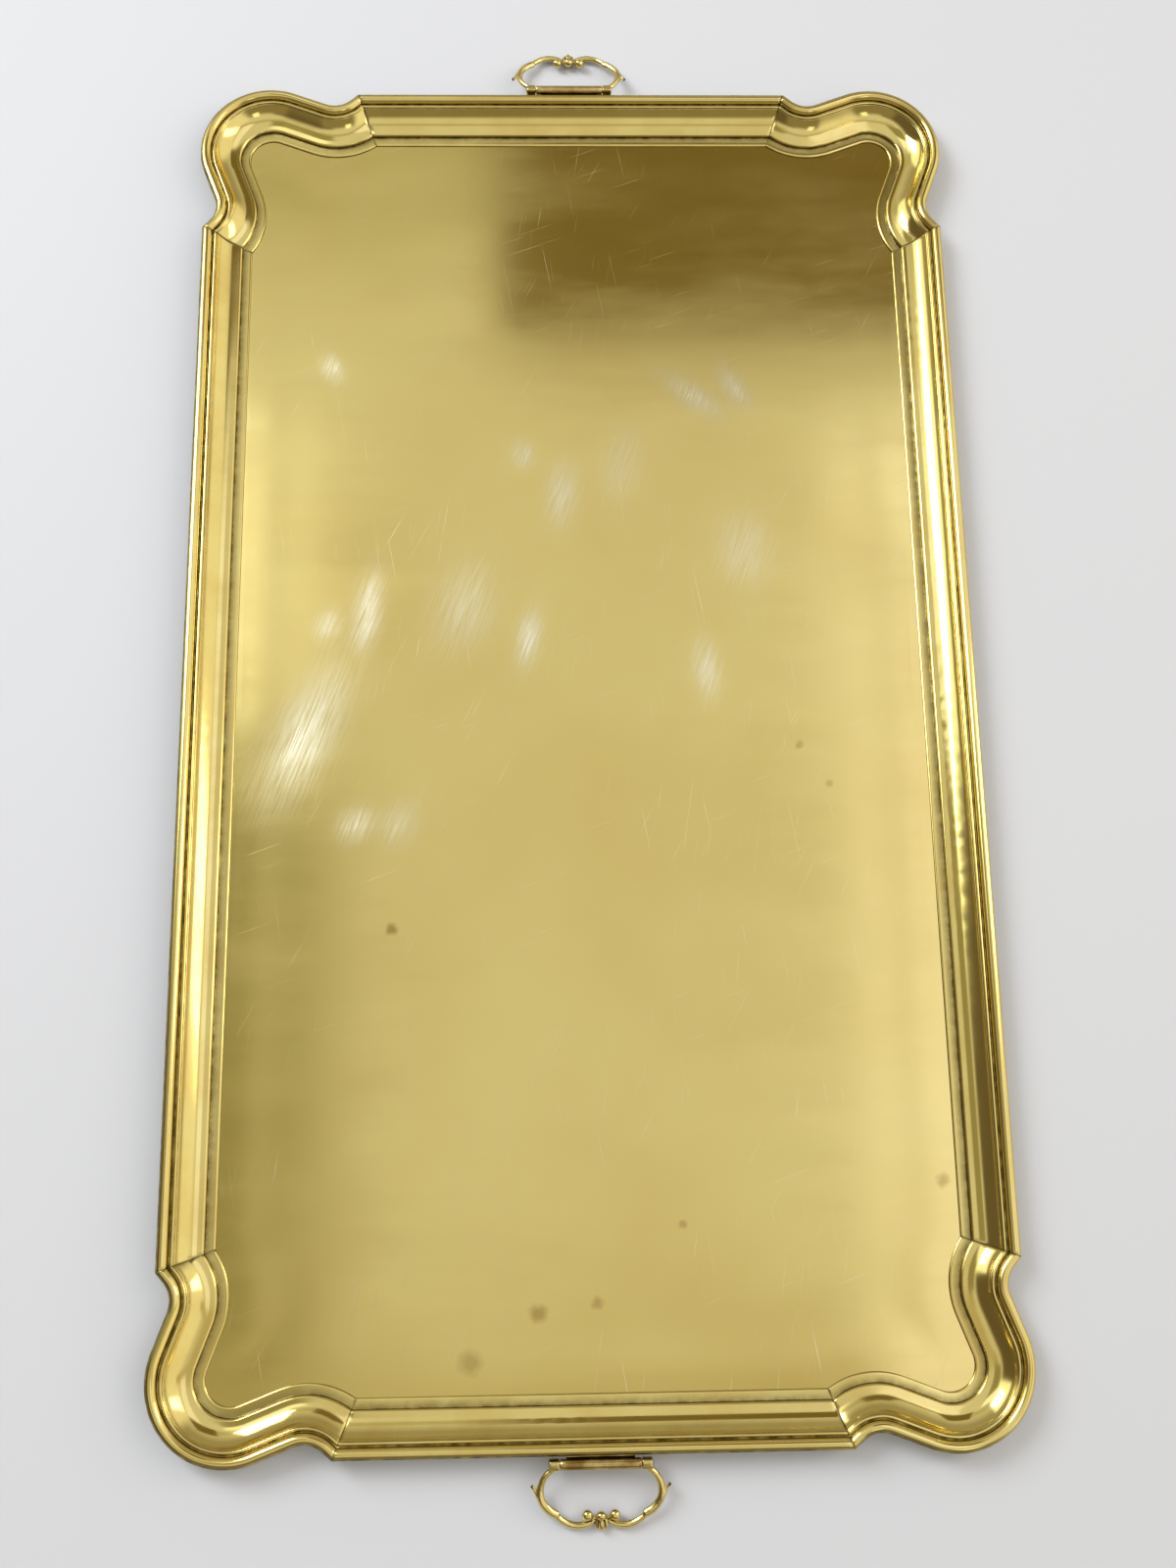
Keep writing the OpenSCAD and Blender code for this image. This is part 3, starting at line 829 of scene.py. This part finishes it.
def polishedSheetBrass():
    f = sheetFinish
    material, tree = startMaterial("polishedSheetBrass")
    place = addNode(tree, "TexCoord").outputs["Object"]
    turn = (0, 0, math.radians(f["hazeTurn"]))
    strokes = addNode(tree, "Mapping", {"Rotation": turn, "Scale": f["hazeStretch"]}, {"Vector": place})
    haze = addNode(tree, "TexNoise", {"Scale": perMetre(f["hazeSize"]), "Detail": 5.0, "Roughness": 0.62},
                   {"Vector": strokes.outputs[0]})
    hazy = addNode(tree, "MapRange", {"From Min": f["hazeRange"][0], "From Max": f["hazeRange"][1]},
                   {"Value": haze.outputs["Fac"]})
    scratch = highest(tree, [
        scratchLayer(tree, place, angle, f["scratchWidth"], f["scratchLength"], seed, f["scratchRange"])
        for angle, seed in f["scratchTurns"]
    ])
    streaks = scratchLayer(tree, place, f["streakTurn"], f["streakWidth"], f["streakLength"], 1.7,
                           f["streakRange"])
    wipeHazeAndReflection = addNode(tree, "Attribute", {"attribute_name": "wipeHazeAndReflection"})
    wipeAndReflection = addNode(tree, "Math", {"operation": "MULTIPLY"}, {0: wipeHazeAndReflection.outputs["Fac"], 1: streaks}).outputs[0]

    tone = addNode(tree, "TexNoise", {"Scale": perMetre(f["toneSize"]), "Detail": 3.0}, {"Vector": place})
    toned = addNode(tree, "MapRange", {"From Min": f["toneRange"][0], "From Max": f["toneRange"][1]},
                    {"Value": tone.outputs["Fac"]})
    colour = addNode(tree, "Mix", {"data_type": "RGBA", 6: fromHex(f["brass"]), 7: fromHex(f["warm"])},
                     {0: toned.outputs[0]}).outputs[2]
    specks = addNode(tree, "TexNoise", {"Scale": perMetre(f["speckSize"]), "Detail": 5.0, "Roughness": 0.7},
                     {"Vector": place})
    low, high = f["speckRange"]
    stains = [addNode(tree, "MapRange", {"From Min": low, "From Max": high, "To Max": f["speckStrength"]},
                      {"Value": specks.outputs["Fac"]}).outputs[0]]
    ragged = addNode(tree, "TexNoise", {"Scale": perMetre(f["raggedSize"]), "Detail": 3.0}, {"Vector": place})
    frayed = addNode(tree, "Math", {"operation": "MULTIPLY_ADD", 1: 4 * mm, 2: -2 * mm},
                     {0: ragged.outputs["Fac"]})
    for x, y, radius, strength in f["stains"]:
        away = addNode(tree, "VectorMath", {"operation": "DISTANCE", 1: (x * mm, y * mm, sheetTop * mm)},
                       {0: place})
        edge = addNode(tree, "Math", {"operation": "ADD"}, {0: away.outputs["Value"], 1: frayed.outputs[0]})
        outer, inner = radius * mm * f["stainEdge"][0], radius * mm * f["stainEdge"][1]
        stains.append(addNode(tree, "MapRange", {"From Min": outer, "From Max": inner, "To Max": strength},
                              {"Value": edge.outputs[0]}).outputs[0])
    stained = addNode(tree, "Mix", {"data_type": "RGBA", 7: fromHex(f["stain"])},
                      {0: highest(tree, stains), 6: colour}).outputs[2]
    light = addNode(tree, "Math", {"operation": "MULTIPLY", 1: f["scratchPale"]}, {0: scratch}).outputs[0]
    # pale colour from the scratches and, in the polishing-cloth smears, a painted reflection
    paleWearAndReflection = highest(tree, [wipeAndReflection, light])
    worn = addNode(tree, "Mix", {"data_type": "RGBA", 7: fromHex(f["pale"])}, {0: paleWearAndReflection, 6: stained})

    dull = addNode(tree, "MapRange", {"To Min": f["clearRoughness"], "To Max": f["hazeRoughness"]},
                   {"Value": hazy.outputs[0]})
    rough = addNode(tree, "Math", {"operation": "MULTIPLY_ADD", 1: f["paleRoughness"]},
                    {0: paleWearAndReflection, 2: dull.outputs[0]})
    bump = addNode(tree, "Bump", {"Strength": 0.5, "Distance": f["scratchDepth"] * mm, "invert": True},
                   {"Height": scratch})
    finishMaterial(tree, {"Metallic": 1.0},
                   {"Base Color": worn.outputs[2], "Roughness": rough.outputs[0], "Normal": bump.outputs[0]})
    return material


# Drawn and soldered brass moulding: a little brighter than the sheet, with black tarnish in every groove and
# painted shade round the outside of the bead
borderFinish = {
    "brass": "#E3CE80",
    "worn": "#D8BE70",
    "tarnish": "#1E1407",
    "roughness": 0.09,
    "dullRoughness": 0.17,
    "toneSize": 40.0,
    "toneRange": (0.4, 0.68),
    "grimeSize": 5.0,
    "grimeRange": (0.3, 0.62),
    "leastGrime": 0.6,
    "grimeRoughness": 0.35,
    "brushSize": 0.8,
    "brushDepth": 0.02,
}


def drawnBorderBrass():
    f = borderFinish
    material, tree = startMaterial("drawnBorderBrass")
    place = addNode(tree, "TexCoord").outputs["Object"]
    tone = addNode(tree, "TexNoise", {"Scale": perMetre(f["toneSize"]), "Detail": 4.0, "Roughness": 0.6},
                   {"Vector": place})
    toned = addNode(tree, "MapRange", {"From Min": f["toneRange"][0], "From Max": f["toneRange"][1]},
                    {"Value": tone.outputs["Fac"]})
    clean = addNode(tree, "Mix", {"data_type": "RGBA", 6: fromHex(f["brass"]), 7: fromHex(f["worn"])},
                    {0: toned.outputs[0]})
    # the grime attribute carries tarnish, dark solder joints and the painted shade round the outside of the
    # bead
    grime = addNode(tree, "Attribute", {"attribute_name": "grime"})
    patchy = addNode(tree, "TexNoise", {"Scale": perMetre(f["grimeSize"]), "Detail": 3.0},
                     {"Vector": place})
    low, high = f["grimeRange"]
    broken = addNode(tree, "MapRange", {"From Min": low, "From Max": high, "To Min": f["leastGrime"]},
                     {"Value": patchy.outputs["Fac"]})
    grimeAndShade = addNode(tree, "Math", {"operation": "MULTIPLY"},
                   {0: grime.outputs["Fac"], 1: broken.outputs[0]})
    colour = addNode(tree, "Mix", {"data_type": "RGBA", 7: fromHex(f["tarnish"])},
                     {0: grimeAndShade.outputs[0], 6: clean.outputs[2]})
    dull = addNode(tree, "MapRange", {"To Min": f["roughness"], "To Max": f["dullRoughness"]},
                   {"Value": toned.outputs[0]})
    rough = addNode(tree, "Math", {"operation": "MULTIPLY_ADD", 1: f["grimeRoughness"]},
                    {0: grimeAndShade.outputs[0], 2: dull.outputs[0]})
    brush = addNode(tree, "TexNoise", {"Scale": perMetre(f["brushSize"]), "Detail": 2.0}, {"Vector": place})
    bump = addNode(tree, "Bump", {"Strength": 0.25, "Distance": f["brushDepth"] * mm},
                   {"Height": brush.outputs["Fac"]})
    finishMaterial(tree, {"Metallic": 1.0},
                   {"Base Color": colour.outputs[2], "Roughness": rough.outputs[0], "Normal": bump.outputs[0]})
    return material


# Cast brass: fettled and polished on the high places, brown in the hollows, painted shade on its underside, a
# faint grain from the sand
castFinish = {
    "brass": "#D9C47C",
    "hollow": "#3A2A10",
    "roughness": 0.15,
    "hollowRoughness": 0.4,
    "hollowRange": (0.7, 1.1),
    "patchSize": 3.5,
    "patchShare": 0.5,
    "grain": 0.7,
    "grainDepth": 0.05,
}


def castBrass():
    f = castFinish
    material, tree = startMaterial("castBrass")
    place = addNode(tree, "TexCoord").outputs["Object"]
    # the attribute holds the brown of the hollows and the painted shade on the underside
    hollow = addNode(tree, "Attribute", {"attribute_name": "hollow"})
    patchy = addNode(tree, "TexNoise", {"Scale": perMetre(f["patchSize"]), "Detail": 4.0}, {"Vector": place})
    mixed = addNode(tree, "Math", {"operation": "MULTIPLY_ADD", 1: f["patchShare"]},
                    {0: patchy.outputs["Fac"], 2: hollow.outputs["Fac"]})
    dark = addNode(tree, "MapRange", {"From Min": f["hollowRange"][0], "From Max": f["hollowRange"][1]},
                   {"Value": mixed.outputs[0]})
    colour = addNode(tree, "Mix", {"data_type": "RGBA", 6: fromHex(f["brass"]), 7: fromHex(f["hollow"])},
                     {0: dark.outputs[0]})
    rough = addNode(tree, "MapRange", {"To Min": f["roughness"], "To Max": f["hollowRoughness"]},
                    {"Value": dark.outputs[0]})
    grain = addNode(tree, "TexNoise", {"Scale": perMetre(f["grain"]), "Detail": 3.0}, {"Vector": place})
    bump = addNode(tree, "Bump", {"Strength": 0.5, "Distance": f["grainDepth"] * mm},
                   {"Height": grain.outputs["Fac"]})
    finishMaterial(tree, {"Metallic": 1.0},
                   {"Base Color": colour.outputs[2], "Roughness": rough.outputs[0], "Normal": bump.outputs[0]})
    return material


# Rolled hinge strip and drawn wire: never buffed, so browner, with lines along the rolling or drawing
stripFinish = {"brass": "#D4BA7C", "aged": "#94783F", "roughness": 0.12, "lineWidth": 0.5, "lineLength": 14.0}
wireFinish = {"brass": "#BFA060", "aged": "#8A6A34", "roughness": 0.3, "lineWidth": 0.35, "lineLength": 10.0}


def plainBrass(name, f):
    material, tree = startMaterial(name)
    place = addNode(tree, "TexCoord").outputs["Object"]
    along, across = perMetre(f["lineLength"]), perMetre(f["lineWidth"])
    stretched = addNode(tree, "Mapping", {"Scale": (along, across, across)}, {"Vector": place})
    lines = addNode(tree, "TexNoise", {"Scale": 1.0, "Detail": 3.0}, {"Vector": stretched.outputs[0]})
    patchy = addNode(tree, "TexNoise", {"Scale": perMetre(9), "Detail": 4.0}, {"Vector": place})
    aged = addNode(tree, "MapRange", {"From Min": 0.38, "From Max": 0.66}, {"Value": patchy.outputs["Fac"]})
    colour = addNode(tree, "Mix", {"data_type": "RGBA", 6: fromHex(f["brass"]), 7: fromHex(f["aged"])},
                     {0: aged.outputs[0]})
    rough = addNode(tree, "MapRange", {"To Min": f["roughness"], "To Max": f["roughness"] + 0.15},
                    {"Value": lines.outputs["Fac"]})
    bump = addNode(tree, "Bump", {"Strength": 0.4, "Distance": 0.03 * mm}, {"Height": lines.outputs["Fac"]})
    finishMaterial(tree, {"Metallic": 1.0},
                   {"Base Color": colour.outputs[2], "Roughness": rough.outputs[0], "Normal": bump.outputs[0]})
    return material


# Camera, lights and floor
studio = {
    "cameraPlace": (-0.02312, -0.26304, 0.87821),
    "cameraTurn": (14.1424, -1.4537, -0.9874),
    "lens": 37.617,
    "floorReach": 20.0,
    "floorGap": 0.02 * mm,  # below the tray, so that the two faces don't fight
    "floor": "#D3D3D8",
    "brightness": 1.6,
    "backdrop": "#DADDDC",
    "overhead": "#BEBEBC",
    "low": "#8E8A7C",
    # Panels of the room, each with its middle, half width, half height, edge softness and colour.
    # Ceiling panels are placed by the slopes x/z and y/z from the tray, walls by azimuth and climb.
    "ceiling": [
        ((-0.33, 0.80), 0.30, 0.17, 0.05, "#A4A492"),
        ((0.30, -0.17), 0.70, 0.09, 0.05, "#A8A28E"),
        ((-0.36, 0.09), 0.225, 0.20, 0.04, "#858267"),
        ((-0.36, 0.40), 0.205, 0.110, 0.02, "#F4FAFF"),
        ((0.36, 0.18), 0.165, 0.32, 0.012, "#E2E4F4"),
        ((0.273, 0.86), 0.300, 0.300, 0.010, "#665A36"),
    ],
    "walls": [
        ((210, 25), 45, 28, 8, "#5A5242"),
        ((-90, 25), 40, 25, 8, "#7A735E"),
        ((0, 30), 45, 26, 8, "#D8D6D0"),
        ((145, 38), 20, 24, 3, "#F6FFF6"),
        ((-66, 48), 7, 8, 2, "#F6FFF6"),
    ],
    # name, place, size, power, colour
    "lights": [
        ("windowLight", (-1.5, 1.1, 1.7), (0.9, 1.2), 34, "#F4F8FF"),
        ("fillLight", (1.6, 0.3, 1.2), (0.5, 1.6), 8, "#FFF8EA"),
    ],
}


def panelMask(tree, across, up, middle, halfWide, halfHigh, soft):
    # 1 inside a rectangle of the two given coordinates, falling to 0 across its soft edge
    masks = []
    for coordinate, centre, half in ((across, middle[0], halfWide), (up, middle[1], halfHigh)):
        away = addNode(tree, "Math", {"operation": "SUBTRACT", 1: centre}, {0: coordinate})
        size = addNode(tree, "Math", {"operation": "ABSOLUTE"}, {0: away.outputs[0]})
        masks.append(addNode(
            tree, "MapRange",
            {"From Min": half + soft, "From Max": half - soft, "interpolation_type": "SMOOTHSTEP"},
            {"Value": size.outputs[0]},
        ).outputs[0])
    return addNode(tree, "Math", {"operation": "MULTIPLY"}, {0: masks[0], 1: masks[1]}).outputs[0]


def roomLight():
    s = studio
    world = bpy.data.worlds.new("studio")
    world.use_nodes = True
    tree = world.node_tree
    tree.nodes.clear()
    direction = addNode(tree, "TexCoord")
    axes = addNode(tree, "SeparateXYZ", links={"Vector": direction.outputs["Generated"]})
    x, y, z = axes.outputs
    above = addNode(tree, "Math", {"operation": "MAXIMUM", 1: 0.02}, {0: z}).outputs[0]
    slopeX = addNode(tree, "Math", {"operation": "DIVIDE"}, {0: x, 1: above}).outputs[0]
    slopeY = addNode(tree, "Math", {"operation": "DIVIDE"}, {0: y, 1: above}).outputs[0]
    climb = addNode(tree, "MapRange", {"From Min": 0.35, "From Max": 0.8}, {"Value": z})
    colour = addNode(tree, "Mix", {"data_type": "RGBA", 6: fromHex(s["low"]), 7: fromHex(s["overhead"])},
                     {0: climb.outputs[0]}).outputs[2]
    elevation = addNode(tree, "Math", {"operation": "ARCSINE"}, {0: z}).outputs[0]
    for (azimuth, height), wide, high, soft, tint in s["walls"]:
        turn = math.radians(azimuth)
        alongWall = addNode(tree, "VectorRotate", {"rotation_type": "Z_AXIS", "Angle": -turn},
                            {"Vector": direction.outputs["Generated"]})
        wallAxes = addNode(tree, "SeparateXYZ", links={"Vector": alongWall.outputs[0]})
        bearing = addNode(tree, "Math", {"operation": "ARCTAN2"},
                          {0: wallAxes.outputs["Y"], 1: wallAxes.outputs["X"]}).outputs[0]
        mask = panelMask(tree, bearing, elevation, (0, math.radians(height)), math.radians(wide),
                         math.radians(high), math.radians(soft))
        colour = addNode(tree, "Mix", {"data_type": "RGBA", 7: fromHex(tint)},
                         {0: mask, 6: colour}).outputs[2]
    for middle, wide, high, soft, tint in s["ceiling"]:
        mask = panelMask(tree, slopeX, slopeY, middle, wide, high, soft)
        colour = addNode(tree, "Mix", {"data_type": "RGBA", 7: fromHex(tint)},
                         {0: mask, 6: colour}).outputs[2]
    room = addNode(tree, "Background", {"Strength": s["brightness"]}, {"Color": colour})
    plain = addNode(tree, "Background", {"Color": fromHex(s["backdrop"])})
    seen = addNode(tree, "LightPath").outputs["Is Camera Ray"]
    both = addNode(tree, "MixShader", links={0: seen, 1: room.outputs[0], 2: plain.outputs[0]})
    addNode(tree, "OutputWorld", links={"Surface": both.outputs[0]})
    bpy.context.scene.world = world


def setStudio():
    s = studio
    data = bpy.data.cameras.new("camera")
    data.lens = s["lens"]
    data.sensor_width = 36
    data.clip_start = 0.01
    camera = bpy.data.objects.new("camera", data)
    camera.location = s["cameraPlace"]
    camera.rotation_euler = [math.radians(a) for a in s["cameraTurn"]]
    bpy.context.collection.objects.link(camera)
    bpy.context.scene.camera = camera
    roomLight()
    for name, place, size, power, tint in s["lights"]:
        lamp = bpy.data.lights.new(name, "AREA")
        lamp.shape = "RECTANGLE"
        lamp.size, lamp.size_y = size
        lamp.energy = power
        lamp.color = fromHex(tint)[:3]
        light = bpy.data.objects.new(name, lamp)
        light.location = place
        light.rotation_euler = (-Vector(place)).to_track_quat("-Z", "Y").to_euler()
        light.visible_camera = False
        bpy.context.collection.objects.link(light)

    floorMesh = bpy.data.meshes.new("floor")
    reach = s["floorReach"]
    corners = [(-reach, -reach, 0), (reach, -reach, 0), (reach, reach, 0), (-reach, reach, 0)]
    floorMesh.from_pydata(corners, [], [(0, 1, 2, 3)])
    floor = bpy.data.objects.new("floor", floorMesh)
    floor.location.z = -s["floorGap"]
    bpy.context.collection.objects.link(floor)
    material, tree = startMaterial("matteTable")
    finishMaterial(tree, {"Base Color": fromHex(s["floor"]), "Roughness": 0.7}, {})
    floorMesh.materials.append(material)

    view = bpy.context.scene.view_settings
    view.view_transform = "Standard"
    view.look = "None"


setStudio()
print("studio ready")

sheetBrass = polishedSheetBrass()
borderBrass = drawnBorderBrass()
bailBrass = castBrass()
stripBrass = plainBrass("rolledStripBrass", stripFinish)
wireBrass = plainBrass("drawnWireBrass", wireFinish)

borderPieces(borderBrass)
print("border ready")
baseSheet(sheetBrass)
print("sheet ready")
for end, place in ((-1, "near"), (1, "far")):
    hingeName = place + "_bail_swing"
    hingeLeaf("hinge_leaf_" + place, hingeName, end, stripBrass)
    hingePin("hinge_pin_" + place, hingeName, end, wireBrass)
    castBail("bail_" + place, hingeName, end, bailBrass)
print("hinges and bails ready")

for nodeName, node in frame["nodes"].items():
    if nodeName.startswith("wire_"):
        node.data.materials.clear()
        node.data.materials.append(wireBrass)
print("wires ready")
